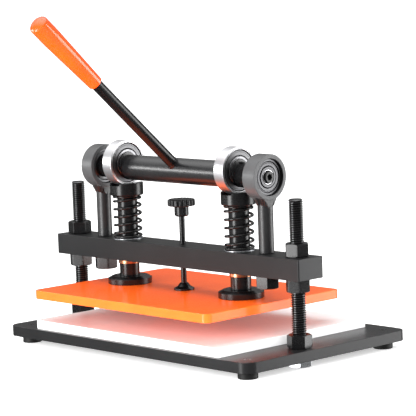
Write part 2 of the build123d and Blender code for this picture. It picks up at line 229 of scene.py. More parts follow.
MATERIALS = {
    "powder_coat": powder_coat("powder_coat", (0.006, 0.0061, 0.0065), (0.009, 0.0091, 0.0096), (0.34, 0.44),
                               ior=1.42),
    "post_coat": powder_coat("post_coat", (0.004, 0.004, 0.0045), (0.007, 0.007, 0.0075), (0.36, 0.46),
                             ior=1.75),
    "housing_coat": powder_coat("housing_coat", (0.042, 0.0425, 0.044), (0.058, 0.0585, 0.06), (0.32, 0.44)),
    "black_oxide": finish("black_oxide", (0.0018, 0.0018, 0.002), (0.0036, 0.0036, 0.004), (0.22, 0.32), 1800,
                          (0.15, 0.02), IOR=1.52),
    "turned_black": finish("turned_black", (0.003, 0.003, 0.0035), (0.006, 0.006, 0.0065), (0.25, 0.36), 700,
                           (0.2, 0.02), stretch=ACROSS_X, IOR=1.8),
    "spring_black": finish("spring_black", (0.0018, 0.0018, 0.002), (0.0036, 0.0036, 0.0036), (0.2, 0.3),
                           2500, (0.15, 0.02), IOR=1.52),
    "chrome": finish("chrome", (0.80, 0.80, 0.82), (0.86, 0.86, 0.88), (0.32, 0.42), 900, (0.06, 0.006),
                     stretch=ACROSS_X, Metallic=1.0),
    "bearing_steel": finish("bearing_steel", (0.24, 0.24, 0.25), (0.30, 0.30, 0.31), (0.22, 0.34), 900,
                            (0.15, 0.01), stretch=ACROSS_X, Metallic=1.0),
    "shield_steel": finish("shield_steel", (0.15, 0.15, 0.155), (0.19, 0.19, 0.195), (0.28, 0.4), 1500,
                           (0.15, 0.01), Metallic=1.0),
    "dull_steel": finish("dull_steel", (0.115, 0.115, 0.12), (0.15, 0.15, 0.155), (0.3, 0.42), 1500,
                         (0.2, 0.015), Metallic=1.0),
    "worn_crest": finish("worn_crest", (0.10, 0.10, 0.103), (0.17, 0.17, 0.173), (0.22, 0.34), 1800,
                         (0.15, 0.02), Metallic=1.0),
    "zinc": spangled_zinc(),
    "bronze": finish("bronze", (0.72, 0.33, 0.17), (0.80, 0.40, 0.22), (0.22, 0.34), 900, (0.3, 0.02),
                     stretch=ACROSS_Z, Metallic=1.0),
    "orange_enamel": finish("orange_enamel", (0.92, 0.105, 0.006), (0.96, 0.125, 0.008), (0.36, 0.48), 600,
                            (0.12, 0.03), Specular_IOR_Level=0.2, Coat_Weight=0.5, Coat_Roughness=0.14),
    "orange_vinyl": finish("orange_vinyl", (0.84, 0.056, 0.001), (0.88, 0.068, 0.001), (0.16, 0.24), 260,
                           (0.12, 0.15), Coat_Weight=0.6, Coat_Roughness=0.06),
    "white_board": scratched_board(),
    "black_rubber": finish("black_rubber", (0.003, 0.003, 0.003), (0.006, 0.006, 0.006), (0.5, 0.7), 2200,
                           (0.4, 0.05)),
    "black_plastic": finish("black_plastic", (0.003, 0.003, 0.0035), (0.006, 0.006, 0.0065), (0.2, 0.32),
                            2600, (0.25, 0.02)),
    # near black, rough and hardly glossy: painted shade for the thread roots and the dark lines round the
    # rollers' sides
    "painted_shade": finish("painted_shade", (0.0015, 0.0015, 0.0015), (0.003, 0.003, 0.003), (0.7, 0.85), 1500, (0.2, 0.02),
                  Specular_IOR_Level=0.1),
}


# --- outlines and solids ------------------------------------------------------------------------
ON_AXIS = 1e-6  # a smaller radius is a point on the axis


def rounded(corners, closed=False, steps=4):
    """The points of an outline; a corner given as (x, y, radius) becomes an arc."""
    points = []
    for i, (x, y, *radius) in enumerate(corners):
        corner = Vector((x, y))
        at_end = not closed and i in (0, len(corners) - 1)
        if not radius or not radius[0] or at_end:
            points.append((x, y))
            continue
        back = Vector(corners[i - 1][:2]) - corner
        ahead = Vector(corners[(i + 1) % len(corners)][:2]) - corner
        half = back.angle(ahead) / 2
        reach = min(radius[0] / tan(half), 0.49 * back.length, 0.49 * ahead.length)
        arc_r = reach * tan(half)
        centre = corner + (back.normalized() + ahead.normalized()).normalized() * arc_r / sin(half)
        first = corner + back.normalized() * reach - centre
        last = corner + ahead.normalized() * reach - centre
        start = atan2(first.y, first.x)
        turn = (atan2(last.y, last.x) - start + pi) % (2 * pi) - pi
        for k in range(steps + 1):
            a = start + turn * k / steps
            points.append((centre.x + arc_r * cos(a), centre.y + arc_r * sin(a)))
    return points


def join_rows(bm, rows, material=0, wrap_rows=False, wrap_columns=True):
    """Faces between neighbouring rows of vertices.

    A row of one vertex is a pole, and two poles aren't joined. material is one index, or a tuple of them that
    repeats from row to row.
    """
    materials = material if isinstance(material, tuple) else (material,)
    pairs = list(zip(rows, rows[1:]))
    if wrap_rows:
        pairs.append((rows[-1], rows[0]))
    for index, (low, high) in enumerate(pairs):
        count = max(len(low), len(high))
        if count == 1:
            continue
        for i in range(count if wrap_columns else count - 1):
            j = (i + 1) % count
            ring = [low[i % len(low)], low[j % len(low)], high[j % len(high)], high[i % len(high)]]
            face = bm.faces.new(list(dict.fromkeys(ring)))
            face.material_index = materials[index % len(materials)]


def join_and_cap(bm, rows):
    """A closed solid from rows of vertices, with a flat face over the first and the last row."""
    join_rows(bm, rows)
    bm.faces.new(list(reversed(rows[0])))
    bm.faces.new(rows[-1])


def lathe(bm, profile, place=Matrix(), steps=64, material=0):
    """Turns a profile of (radius, height) about Z. It runs from axis to axis, or is closed into a ring."""
    turns = [2 * pi * i / steps for i in range(steps)]
    rows = []
    for r, h in profile:
        if r < ON_AXIS:
            rows.append([bm.verts.new(place @ Vector((0, 0, h)))])
        else:
            rows.append([bm.verts.new(place @ Vector((r * cos(a), r * sin(a), h))) for a in turns])
    join_rows(bm, rows, material, wrap_rows=profile[0][0] > ON_AXIS)


def solid_disc(radius, low, high, edge, low_edge=None):
    """Profile of a plain round bar with rounded ends."""
    low_edge = edge if low_edge is None else low_edge
    return rounded([(0, low), (radius, low, low_edge), (radius, high, edge), (0, high)])


def ring_profile(inner, outer, low, high, edge, inner_edge=0.3):
    corners = [(inner, low, inner_edge), (outer, low, edge), (outer, high, edge), (inner, high, inner_edge)]
    return rounded(corners, closed=True, steps=3)


def upright(x, y=PRESS_Y):
    return Matrix.Translation((x, y, 0))


def along_x(y, z, sign=1, x=0.0):
    """Lays a lathe's axis along X, pointing outwards on the side that sign gives."""
    return Matrix.Translation((x, y, z)) @ Matrix.Rotation(sign * pi / 2, 4, "Y")


def slab(bm, low, high, corner_r, edge, corner_steps=8, edge_steps=3):
    """A plate between two corners of its box, with rounded upright corners and rounded edges."""
    half_w, half_d = (high.x - low.x) / 2, (high.y - low.y) / 2
    centre = (low + high) / 2
    sides = rounded([(edge, low.z), (0, low.z, edge), (0, high.z, edge), (edge, high.z)], steps=edge_steps)
    rows = []
    for inset, z in sides:
        w, d, r = half_w - inset, half_d - inset, max(corner_r - inset, 0.05)
        outline = rounded([(w, -d, r), (w, d, r), (-w, d, r), (-w, -d, r)], closed=True, steps=corner_steps)
        rows.append([bm.verts.new((centre.x + x, centre.y + y, z)) for x, y in outline])
    join_and_cap(bm, rows)


def hexagon(across_flats, corner_r, turn, flat_steps=6):
    """A hexagon's outline with softened corners, its flats divided so that a chamfer can curve."""
    far = across_flats / 3**0.5
    angles = [radians(turn + 60 * i) for i in range(6)]
    corners = [(far * cos(a), far * sin(a), corner_r) for a in angles]
    outline = rounded(corners, closed=True, steps=2)
    points = []
    for (x0, y0), (x1, y1) in zip(outline, outline[1:] + outline[:1]):
        pieces = flat_steps if hypot(x1 - x0, y1 - y0) > across_flats / 4 else 1
        points += [(x0 + (x1 - x0) * k / pieces, y0 + (y1 - y0) * k / pieces) for k in range(pieces)]
    return points


def nut(bm, x, y, low, high, across_flats, bore_r, turn):
    """Hexagon nut: corners turned off at 30 degrees on both faces, bore chamfered."""
    turned_r, lead = 0.96 * across_flats / 2, 0.9
    rows = [[] for _ in range(8)]
    for px, py in hexagon(across_flats, 0.7, turn):
        r = hypot(px, py)
        drop = max(0.0, r - turned_r) * tan(radians(30))
        levels = ((bore_r, low + lead), (bore_r + lead, low), (turned_r, low), (r, low + drop),
                  (r, high - drop), (turned_r, high), (bore_r + lead, high), (bore_r, high - lead))
        for row, (radius, z) in zip(rows, levels):
            row.append(bm.verts.new((x + px * radius / r, y + py * radius / r, z)))
    join_rows(bm, rows, wrap_rows=True)


def thread(bm, x, y, low, high, radius, pitch=2.5, depth=1.3, steps=40, chamfer=1.2):
    """A screw thread as one helical surface, cut square at both ends and chamfered there.

    Its root is in the piece's second material, which is darker, a painted shade in the thread's groove, and
    its worn crest is in the third.
    """
    crest_and_root = ((0.0, 0), (0.2, 0), (0.52, depth), (0.68, depth))
    materials = (2, 0, 1, 0)
    per_turn = len(crest_and_root)
    work = bmesh.new()
    rows = []
    for turn in range(ceil((high - low) / pitch) + 3):
        for part, cut in crest_and_root:
            row = []
            for i in range(steps):
                a = 2 * pi * i / steps
                z = low + (turn - 1 + part + i / steps) * pitch
                row.append(work.verts.new(((radius - cut) * cos(a), (radius - cut) * sin(a), z)))
            rows.append(row)
    join_rows(work, rows, materials, wrap_columns=False)
    for k in range(len(rows) - per_turn - 1):
        ring = rows[k][-1], rows[k + per_turn][0], rows[k + per_turn + 1][0], rows[k + 1][-1]
        work.faces.new(ring).material_index = materials[k % per_turn]
    for level, way in ((low, -1), (high, 1)):
        everything = work.verts[:] + work.edges[:] + work.faces[:]
        bmesh.ops.bisect_plane(work, geom=everything, plane_co=(0, 0, level), plane_no=(0, 0, way),
                               clear_outer=True, dist=1e-5)
        rim = [e for e in work.edges if e.is_boundary and abs(e.verts[0].co.z - level) < 1e-3
               and abs(e.verts[1].co.z - level) < 1e-3]
        bmesh.ops.edgeloop_fill(work, edges=rim)
    for v in work.verts:
        reach = hypot(v.co.x, v.co.y)
        allowed = radius - max(0.0, chamfer - min(v.co.z - low, high - v.co.z))
        if reach > allowed:
            v.co.xy *= allowed / reach
        v.co += Vector((x, y, 0))
    mesh = bpy.data.meshes.new("thread")
    work.to_mesh(mesh)
    work.free()
    bm.from_mesh(mesh)
    bpy.data.meshes.remove(mesh)


def wire_along(bm, points, ups, radius, floor, ceiling, steps=12):
    """A round wire along points, ground flat where it would pass floor or ceiling.

    ups are directions across the wire.
    """
    rows = []
    last = len(points) - 1
    for i, (point, up) in enumerate(zip(points, ups)):
        tangent = (points[min(i + 1, last)] - points[max(i - 1, 0)]).normalized()
        across = tangent.cross(up).normalized()
        over = across.cross(tangent)
        row = []
        for k in range(steps):
            a = 2 * pi * k / steps
            spot = point + radius * (cos(a) * across + sin(a) * over)
            spot.z = min(max(spot.z, floor), ceiling)
            row.append(bm.verts.new(spot))
        rows.append(row)
    join_and_cap(bm, rows)


# --- pieces -------------------------------------------------------------------------------------
def shade(mesh, sharp_degrees=38):
    """Smooth shading with a crease wherever two faces meet at more than sharp_degrees."""
    bm = bmesh.new()
    bm.from_mesh(mesh)
    for face in bm.faces:
        face.smooth = True
    for edge in bm.edges:
        edge.smooth = len(edge.link_faces) == 2 and edge.calc_face_angle(0) < radians(sharp_degrees)
    bm.to_mesh(mesh)
    bm.free()


def loose_object(name, bm, *materials):
    """An object made from millimetre geometry, not yet part of the press."""
    bmesh.ops.recalc_face_normals(bm, faces=bm.faces)
    mesh = bpy.data.meshes.new(name)
    bm.to_mesh(mesh)
    bm.free()
    mesh.transform(Matrix.Scale(MM, 4))
    for material in materials:
        mesh.materials.append(MATERIALS[material])
    made = bpy.data.objects.new(name, mesh)
    bpy.context.scene.collection.objects.link(made)
    return made


def cut(made, cutter_bm):
    """Cuts millimetre geometry out of an object and keeps the result as its mesh."""
    cutter = loose_object("cutter", cutter_bm)
    modifier = made.modifiers.new("cut", "BOOLEAN")
    modifier.object = cutter
    modifier.operation = "DIFFERENCE"
    modifier.solver = "EXACT"
    bpy.context.view_layer.update()
    graph = bpy.context.evaluated_depsgraph_get()
    result = bpy.data.meshes.new_from_object(made.evaluated_get(graph))
    made.modifiers.clear()
    made.data = result
    bpy.data.objects.remove(cutter)


def join_press(made, body, nodes=(), blend=None):
    """Makes an object part of the press: shading, the body it rides on, the nodes it stands for."""
    shade(made.data)
    weights = made.modifiers.new("even_normals", "WEIGHTED_NORMAL")
    weights.keep_sharp = True
    if blend:
        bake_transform(made)
    else:
        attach(made, body)
    if nodes:
        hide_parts(*nodes)
    return made


def stand_for(node, bm, *materials, cutter=None, blend=None):
    """The detailed piece that is shown in place of a CAD node."""
    made = loose_object(f"{node}.detailed", bm, *(materials or (SLOT_OF[node],)))
    if cutter is not None:
        cut(made, cutter)
    body = frame["nodes"][node]["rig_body"]
    return join_press(made, body, (node,), blend)


# --- base ---------------------------------------------------------------------------------------
FOOT_R = 11.0
FEET_LOW, FEET_HIGH = box_mm("rubber_feet")
FOOT_PLACES = [(x, y) for x in (FEET_LOW.x + FOOT_R, FEET_HIGH.x - FOOT_R)
               for y in (FEET_LOW.y + FOOT_R, FEET_HIGH.y - FOOT_R)]
FLATS = 24.0  # across the M16 nuts
M16 = 8.0  # the thread's radius
NUTS = {  # where each pair of nuts stands along X, and how the left and the right one are turned
    "base_nuts": (COLUMN_X, (4, -22)),
    "bottom_nuts": (COLUMN_X, (15, 15)),
    "lower_nuts": (COLUMN_X, (-30, -38)),
    "upper_nuts": (COLUMN_X, (-13, -43)),
    "post_nuts": (POST_X, (-32, -46)),
}


def make_base():
    plate = bmesh.new()
    slab(plate, BASE_LOW, BASE_HIGH, corner_r=14, edge=0.9, corner_steps=12)
    holes = bmesh.new()
    top = BASE_HIGH.z
    sink = [(0, BASE_LOW.z - 1), (2.8, BASE_LOW.z - 1), (2.8, top - 2.2), (5.05, top), (5.05, top + 1),
            (0, top + 1)]
    for x, y in FOOT_PLACES:
        lathe(holes, sink, upright(x, y), steps=32)
    for sign in SIDES.values():
        lathe(holes, solid_disc(M16, BASE_LOW.z - 1, top + 1, 0), upright(sign * COLUMN_X), steps=40)
    stand_for("base_plate", plate, cutter=holes)

    board = bmesh.new()
    slab(board, *box_mm("cutting_board"), corner_r=2.5, edge=0.7, corner_steps=5)
    stand_for("cutting_board", board)


def make_feet():
    low, top = FEET_LOW.z, FEET_HIGH.z
    feet = bmesh.new()
    profile = rounded([(2.6, top), (10.4, top, 0.6), (FOOT_R, low + 5.5, 2), (FOOT_R, low, 1.1),
                       (8.4, low, 0.4), (8.0, low + 0.6, 0.3), (5.2, low + 0.6, 0.3), (5, low + 5),
                       (2.6, low + 5)], closed=True)
    for x, y in FOOT_PLACES:
        lathe(feet, profile, upright(x, y), steps=48)
    stand_for("rubber_feet", feet)


def cross_recess(bm, place, top, long=2.4, short=0.55, depth=1.8):
    """Cutter for the cross in a screw head, narrowing downwards."""
    quarter = ((long, short), (short, short), (short, long))
    outline = []
    for across, along in ((1, 1), (-1, 1), (-1, -1), (1, -1)):
        corner = [(across * x, along * y) for x, y in quarter]
        outline += corner if across == along else reversed(corner)
    rows = []
    for shrink, z in ((0.55, top - depth), (1.0, top + 0.3)):
        rows.append([bm.verts.new(place @ Vector((x * shrink, y * shrink, z))) for x, y in outline])
    join_and_cap(bm, rows)


def make_foot_screws():
    low, high = box_mm("foot_screws")
    screws, recesses = bmesh.new(), bmesh.new()
    top = high.z - 0.15
    profile = rounded([(0, low.z), (2.5, low.z, 0.4), (2.5, top - 2.25), (4.75, top - 0.25, 0.2),
                       (4.6, top, 0.2), (0, top)])
    for i, (x, y) in enumerate(FOOT_PLACES):
        place = upright(x, y)
        turn = Matrix.Rotation(radians(20 + 31 * i), 4, "Z")  # no two screws stop at the same angle
        lathe(screws, profile, place, steps=32)
        cross_recess(recesses, place @ turn, top)
    stand_for("foot_screws", screws, cutter=recesses)


def make_columns():
    for side, sign in SIDES.items():
        low, high = box_mm(f"{side}_column")
        rod = bmesh.new()
        thread(rod, sign * COLUMN_X, PRESS_Y, low.z, high.z, M16)
        # the rods' thread roots are near black: painted shade
        stand_for(f"{side}_column", rod, "black_oxide", "painted_shade", "worn_crest")
    for node, (x, turns) in NUTS.items():
        low, high = box_mm(node)
        pair = bmesh.new()
        for sign, turn in zip(SIDES.values(), turns):
            nut(pair, sign * x, PRESS_Y, low.z, high.z, FLATS, M16, turn)
        stand_for(node, pair)


# --- head ---------------------------------------------------------------------------------------
BUSH_R = 12.5


def make_beam():
    beam = bmesh.new()
    slab(beam, BEAM_LOW, BEAM_HIGH, corner_r=1.6, edge=0.8, corner_steps=4)
    holes = bmesh.new()
    bores = [(0, 4.0)]
    for sign in SIDES.values():
        bores += [(sign * COLUMN_X, M16 + 0.5), (sign * POST_X, M16), (sign * PLUNGER_X, BUSH_R)]
    for x, radius in bores:
        lathe(holes, solid_disc(radius, BEAM_LOW.z - 1, BEAM_HIGH.z + 1, 0), upright(x), steps=48)
    stand_for("crossbeam", beam, cutter=holes)


POST_R, HOUSING_R, HOUSING_BORE_R = 8.5, 25.0, 20.0
WELD_OUT, WELD_DOWN = 4.2, 6.0  # how far the fillet reaches along the housing and down the post


def make_posts():
    for side, sign in SIDES.items():
        x = sign * POST_X
        low, _ = box_mm(f"{side}_post")
        post = bmesh.new()
        lathe(post, solid_disc(POST_R, BEAM_HIGH.z, SHAFT_Z - 21.5, 0.2, low_edge=0.8), upright(x), steps=56)
        thread(post, x, PRESS_Y, low.z, BEAM_HIGH.z - 0.5, M16, chamfer=1.0)
        # the posts' thread roots are near black: painted shade
        stand_for(f"{side}_post", post, "post_coat", "painted_shade", "worn_crest")

        housing = bmesh.new()
        half_w = size(f"{side}_bearing_housing").x / 2
        lathe(housing, ring_profile(HOUSING_BORE_R, HOUSING_R, -half_w, half_w, 0.7, inner_edge=0.6),
              along_x(PRESS_Y, SHAFT_Z, x=x), steps=96)
        for face in housing.faces:
            spot = face.calc_center_median()
            if hypot(spot.y - PRESS_Y, spot.z - SHAFT_Z) < HOUSING_BORE_R + 0.4:
                face.material_index = 1  # the bore is near black, a painted shade in the recess round the bearing
        stand_for(f"{side}_bearing_housing", housing, "housing_coat", "black_oxide")

        bead = bmesh.new()
        weld_bead(bead, x, half_w, seed=3.0 * sign)
        made = loose_object(f"{side}_weld_bead", bead, "post_coat")
        join_press(made, "head")


def weld_bead(bm, x, half_w, seed, ripples=26, count=208):
    """The weld round the post where it meets the housing: a fillet of overlapping ripples.

    Each row runs from the post's side up to the housing's rim, bulging a little in between.
    """
    across_fillet = ((-0.8, 1.2), (0.03, 1.16), (0.16, 0.8), (0.36, 0.46), (0.64, 0.22), (0.96, 0.05),
                     (1.0, -0.35), (-0.8, -0.35))
    rows = [[] for _ in across_fillet]
    for i in range(count):
        a = 2 * pi * i / count
        uneven = noise.noise(Vector((4 * cos(a), 4 * sin(a), seed)))
        ripple = abs(sin(a * ripples / 2 + 0.9 * uneven))
        wide = WELD_OUT * (1 + 0.5 * uneven)
        tall = WELD_DOWN * (1 + 0.35 * uneven)
        for k, (out, down) in enumerate(across_fillet):
            bulge = 0.8 * ripple + 0.9 * uneven if 1 < k < 5 else 0.0
            reach = POST_R + out * wide + bulge
            along = max(-half_w + 0.4, min(half_w - 0.4, reach * cos(a)))
            deep = reach * sin(a)
            rim = SHAFT_Z - sqrt(HOUSING_R**2 - deep**2)
            rows[k].append(bm.verts.new((x + along, PRESS_Y + deep, rim - down * tall - bulge)))
    join_rows(bm, rows, wrap_rows=True)


def make_bushes_and_washers():
    washers = bmesh.new()
    washer_low, washer_high = box_mm("spring_washers")
    for side, sign in SIDES.items():
        x = sign * PLUNGER_X
        low, high = box_mm(f"{side}_guide_bush")
        bush = bmesh.new()
        profile = [(11.55, low.z, 0.5), (BUSH_R, low.z, 0.6), (BUSH_R, high.z, 0.2), (11.55, high.z, 0.3)]
        lathe(bush, rounded(profile, closed=True), upright(x))
        stand_for(f"{side}_guide_bush", bush)
        lathe(washers, ring_profile(12.0, 17.5, washer_low.z, washer_high.z, 0.3), upright(x))
    stand_for("spring_washers", washers)


WIRE_R = 1.5
END_PITCH = 3.0  # rise of the closed turn at each end
GROUND = 0.9  # how far the end turns are ground into the wire's radius


def make_springs(turns=6.6, steps_per_turn=40):
    """Right-handed compression springs with closed and ground ends."""
    for side, sign in SIDES.items():
        low, high = box_mm(f"{side}_return_spring")
        coil_r = size(f"{side}_return_spring").x / 2 - WIRE_R
        first, last = low.z + WIRE_R - GROUND, high.z - WIRE_R + GROUND
        open_turns = turns - 2
        open_pitch = (last - first - 2 * END_PITCH) / open_turns
        points, ups = [], []
        count = int(turns * steps_per_turn)
        for i in range(count + 1):
            t = turns * i / count
            z = first + END_PITCH * min(t, 1) + open_pitch * min(max(t - 1, 0), open_turns) \
                + END_PITCH * max(t - turns + 1, 0)
            a = 2 * pi * t + radians(150)
            points.append(Vector((sign * PLUNGER_X + coil_r * cos(a), PRESS_Y + coil_r * sin(a), z)))
            ups.append(Vector((cos(a), sin(a), 0)))
        spring = bmesh.new()
        wire_along(spring, points, ups, WIRE_R, low.z, high.z)
        blend = ("head", "press", (0, 0, low.z * MM), (0, 0, high.z * MM))
        stand_for(f"{side}_return_spring", spring, "spring_black", blend=blend)


# --- bearings -----------------------------------------------------------------------------------
def shields(node, y, z, x, inner, outer, face, material):
    """Both pressed shields of a bearing: flat discs with a raised step and a curled inner edge.

    face is how far their outsides stand from the bearing's middle.
    """
    step_r = inner + 0.62 * (outer - inner)
    outside = [(inner, face - 1.1), (inner + 0.2, face - 0.25), (inner + 0.7, face), (step_r, face),
               (step_r + 0.5, face - 0.4), (outer - 0.7, face - 0.4), (outer - 0.2, face - 0.7),
               (outer, face - 1.2)]
    corners = [(r, h, 0.25) for r, h in outside] + [(outer, face - 1.6), (inner, face - 1.6)]
    profile = rounded(corners, closed=True, steps=2)
    discs = bmesh.new()
    for sign in (-1, 1):
        lathe(discs, profile, along_x(y, z, sign=sign, x=x), steps=80)
    stand_for(node, discs, material)


SHIELD_INSET = 0.5  # how far the shields sit in from a bearing's side faces


def make_shaft_bearings():
    inner_rings = bmesh.new()
    half_w = size("right_shaft_bearing_ring").x / 2
    for side, sign in SIDES.items():
        x = sign * POST_X
        axis = along_x(PRESS_Y, SHAFT_Z, x=x)
        outer = bmesh.new()
        lathe(outer, ring_profile(17.2, HOUSING_BORE_R, -half_w, half_w, 0.7, inner_edge=0.4), axis, steps=96)
        stand_for(f"{side}_shaft_bearing_ring", outer, "dull_steel")
        shields(f"{side}_shaft_bearing_shields", PRESS_Y, SHAFT_Z, x, 12.0, 17.0, half_w - SHIELD_INSET,
                "dull_steel")
        lathe(inner_rings, ring_profile(8.55, 11.5, -half_w, half_w, 0.5, inner_edge=0.6), axis, steps=80)
    stand_for("shaft_bearing_inner_rings", inner_rings, "dull_steel")


ROLLER_R = 26.0


def make_rollers():
    inner_rings = bmesh.new()
    half_w = size("right_roller").x / 2
    half_tread = [(23.0, half_w - 1.2), (23.1, half_w, 0.3), (23.9, half_w, 0.3), (24.1, half_w - 0.9),
                  (24.3, half_w, 0.3), (ROLLER_R, half_w, 1.0)]
    other_half = [(r, -h, *radius) for r, h, *radius in half_tread]
    tread = rounded(other_half + half_tread[::-1], closed=True)
    for side, sign in SIDES.items():
        x = sign * ECCENTRIC.x
        axis = along_x(ECCENTRIC.y, ECCENTRIC.z, x=x)
        roller = bmesh.new()
        lathe(roller, tread, axis, steps=128)
        for face in (-1, 1):  # painted shade: thin near-black rings round each side, for the shade in a groove in the ring and at the shield's seat
            for inner, outer, inset, half_t in ((23.75, 24.42, 0.45, 0.35), (22.35, 23.05, 1.2, 0.6)):
                level = face * (half_w - inset)
                line = ring_profile(inner, outer, level - half_t, level + half_t, 0.05, inner_edge=0.05)
                lathe(roller, line, axis, steps=96, material=1)
        stand_for(f"{side}_roller", roller, "chrome", "painted_shade")
        shields(f"{side}_roller_shields", ECCENTRIC.y, ECCENTRIC.z, x, 16.3, 22.5, half_w - SHIELD_INSET,
                "shield_steel")
        lathe(inner_rings, ring_profile(12.55, 15.7, -half_w, half_w, 0.5, inner_edge=0.5), axis, steps=96)
    stand_for("roller_inner_rings", inner_rings, "bearing_steel")


# --- lever shaft --------------------------------------------------------------------------------
SHAFT_R, HUB_R, JOURNAL_R = 14.5, 13.5, 8.5
LEVER_ANGLE = radians(48.4)
LEVER_R = 6.5


def on_lever():
    """Matrix whose Z runs up the lever from the shaft's axis."""
    return Matrix.Translation((0, PRESS_Y, SHAFT_Z)) @ Matrix.Rotation(LEVER_ANGLE, 4, "X")


def make_shaft():
    high = box_mm("roller_inner_rings")[1]
    journal_x = high.x - 15.5
    shaft = bmesh.new()
    lathe(shaft, solid_disc(SHAFT_R, -journal_x, journal_x, 0.8), along_x(PRESS_Y, SHAFT_Z), steps=96)
    for sign in SIDES.values():
        ends = solid_disc(12.5, journal_x - 1, high.x + 0.5, 0.3)
        lathe(shaft, ends, along_x(ECCENTRIC.y, ECCENTRIC.z, sign=sign), steps=64)
    seat = bmesh.new()
    lathe(seat, rounded([(0, 11.5), (7.1, 11.5, 0.2), (7.1, 16.5), (0, 16.5)]), on_lever(), steps=48)
    stand_for("eccentric_shaft", shaft, "turned_black", cutter=seat)


def make_hubs():
    head_x = box_mm("shaft_end_screws")[1].x
    screw = rounded([(0, head_x - 50), (4, head_x - 50, 0.8), (4, head_x - 8), (6.5, head_x - 8, 0.3),
                     (6.5, head_x, 0.8), (0, head_x)])
    screws, sockets = bmesh.new(), bmesh.new()
    for side, sign in SIDES.items():
        low, high = box_mm(f"{side}_shaft_hub")
        start = min(abs(low.x), abs(high.x))
        end = max(abs(low.x), abs(high.x))
        shoulder = end - 12.0
        axis = along_x(PRESS_Y, SHAFT_Z, sign=sign)
        hub = bmesh.new()
        profile = [(4, start), (HUB_R, start, 0.5), (HUB_R, shoulder, 0.8), (JOURNAL_R, shoulder, 0.3),
                   (JOURNAL_R, end, 0.7), (7.0, end, 0.4), (7.0, end - 5.6), (4, end - 5.6)]
        lathe(hub, rounded(profile, closed=True), axis, steps=80)
        for face in hub.faces:
            if abs(face.calc_center_median().x) > end - 0.8:
                face.material_index = 1  # the journal's end is bare metal
        key_lug(hub, sign, start)
        stand_for(f"{side}_shaft_hub", hub, "black_oxide", "chrome")

        lathe(screws, screw, axis, steps=56)
        rows = []
        for widen, depth in ((1.0, 4.0), (1.0, 0.35), (1.18, -0.1)):
            outline = hexagon(6 * widen, 0.2, 14 if sign > 0 else 3, flat_steps=1)
            rows.append([sockets.verts.new(axis @ Vector((px, py, head_x - depth))) for px, py in outline])
        join_and_cap(sockets, rows)
    stand_for("shaft_end_screws", screws, "black_oxide", cutter=sockets)


def key_lug(bm, sign, start):
    """The key's end that shows on top of the hub beside the roller."""
    low = Vector((sign * (start + 1.6) - 1.5, PRESS_Y - 2, SHAFT_Z + HUB_R - 1.2))
    high = low + Vector((3.0, 4.0, 2.6))
    slab(bm, low, high, corner_r=0.7, edge=0.4, corner_steps=3, edge_steps=2)


LEVER_END = 256.0
GRIP_START, GRIP_END = 160.0, 265.6
GRIP_LIP_R, GRIP_TIP_R = 8.3, 11.0


def make_lever():
    rod = bmesh.new()
    lathe(rod, solid_disc(LEVER_R, 4, LEVER_END, 0.8), on_lever(), steps=56)
    stand_for("lever_rod", rod)

    grip = bmesh.new()
    profile = rounded([(LEVER_R, GRIP_START + 2), (LEVER_R + 0.3, GRIP_START, 0.5),
                       (GRIP_LIP_R, GRIP_START, 1.3), (GRIP_LIP_R + 0.2, GRIP_START + 6, 8),
                       (GRIP_TIP_R, GRIP_START + 78, 60), (GRIP_TIP_R, GRIP_END - 4.2, 3.4),
                       (6.6, GRIP_END - 0.9, 12), (0, GRIP_END)], steps=7)
    socket_end = LEVER_END + 0.2
    lathe(grip, profile + [(0, socket_end), (LEVER_R, socket_end)], on_lever(), steps=72)
    stand_for("lever_grip", grip)


# --- press plate and plungers -------------------------------------------------------------------
CAP_R, STEM_R, SLOT_HALF = 19.25, 11.5, 7.8
ROLLER_LIFT = 0.3  # from the slot's floor to the roller
FLANGE_R = 25.5


def make_plungers():
    for side, sign in SIDES.items():
        x = sign * PLUNGER_X
        low, high = box_mm(f"{side}_plunger")
        cap_low = box_mm(f"{side}_return_spring")[1].z
        plunger = bmesh.new()
        lathe(plunger, rounded([(0, low.z), (STEM_R, low.z, 0.4), (STEM_R, cap_low), (CAP_R, cap_low, 1.6),
                                (CAP_R, high.z, 0.7), (0, high.z)]), upright(x), steps=80)
        slot = bmesh.new()
        slot_low = Vector((x - SLOT_HALF, PRESS_Y - 25, ECCENTRIC.z - ROLLER_R - ROLLER_LIFT))
        slot_high = Vector((x + SLOT_HALF, PRESS_Y + 25, high.z + 3))
        slab(slot, slot_low, slot_high, corner_r=0.3, edge=0.5, corner_steps=2)
        stand_for(f"{side}_plunger", plunger, cutter=slot)

        low, high = box_mm(f"{side}_foot_flange")
        flange = bmesh.new()
        profile = [(4, low.z), (FLANGE_R, low.z, 0.5), (FLANGE_R, low.z + 6.4, 0.5), (20.6, high.z, 0.5),
                   (4, high.z)]
        lathe(flange, rounded(profile, closed=True), upright(x), steps=80)
        stand_for(f"{side}_foot_flange", flange)


def make_press_plate():
    low, high = box_mm("press_plate")
    plate = bmesh.new()
    slab(plate, low, high, corner_r=8, edge=1.3, corner_steps=10, edge_steps=4)
    sinks, screws, sockets = bmesh.new(), bmesh.new(), bmesh.new()
    screw_low, screw_high = box_mm("plate_screws")
    bottom = screw_low.z + 0.1
    sink = [(0, low.z - 1), (8.2, low.z - 1), (8.2, low.z), (4.1, low.z + 4.1), (4.1, high.z + 1),
            (0, high.z + 1)]
    screw = rounded([(0, bottom), (7.6, bottom, 0.3), (7.8, bottom + 0.4), (4, bottom + 4.2),
                     (4, screw_high.z, 0.6), (0, screw_high.z)])
    outline = hexagon(5.0, 0.2, 10, flat_steps=1)
    for sign in SIDES.values():
        place = upright(sign * PLUNGER_X)
        lathe(sinks, sink, place, steps=48)
        lathe(screws, screw, place, steps=48)
        join_and_cap(sockets, [[sockets.verts.new(place @ Vector((px, py, z))) for px, py in outline]
                               for z in (bottom - 0.5, bottom + 3.0)])
    stand_for("press_plate", plate, cutter=sinks)
    stand_for("plate_screws", screws, cutter=sockets)


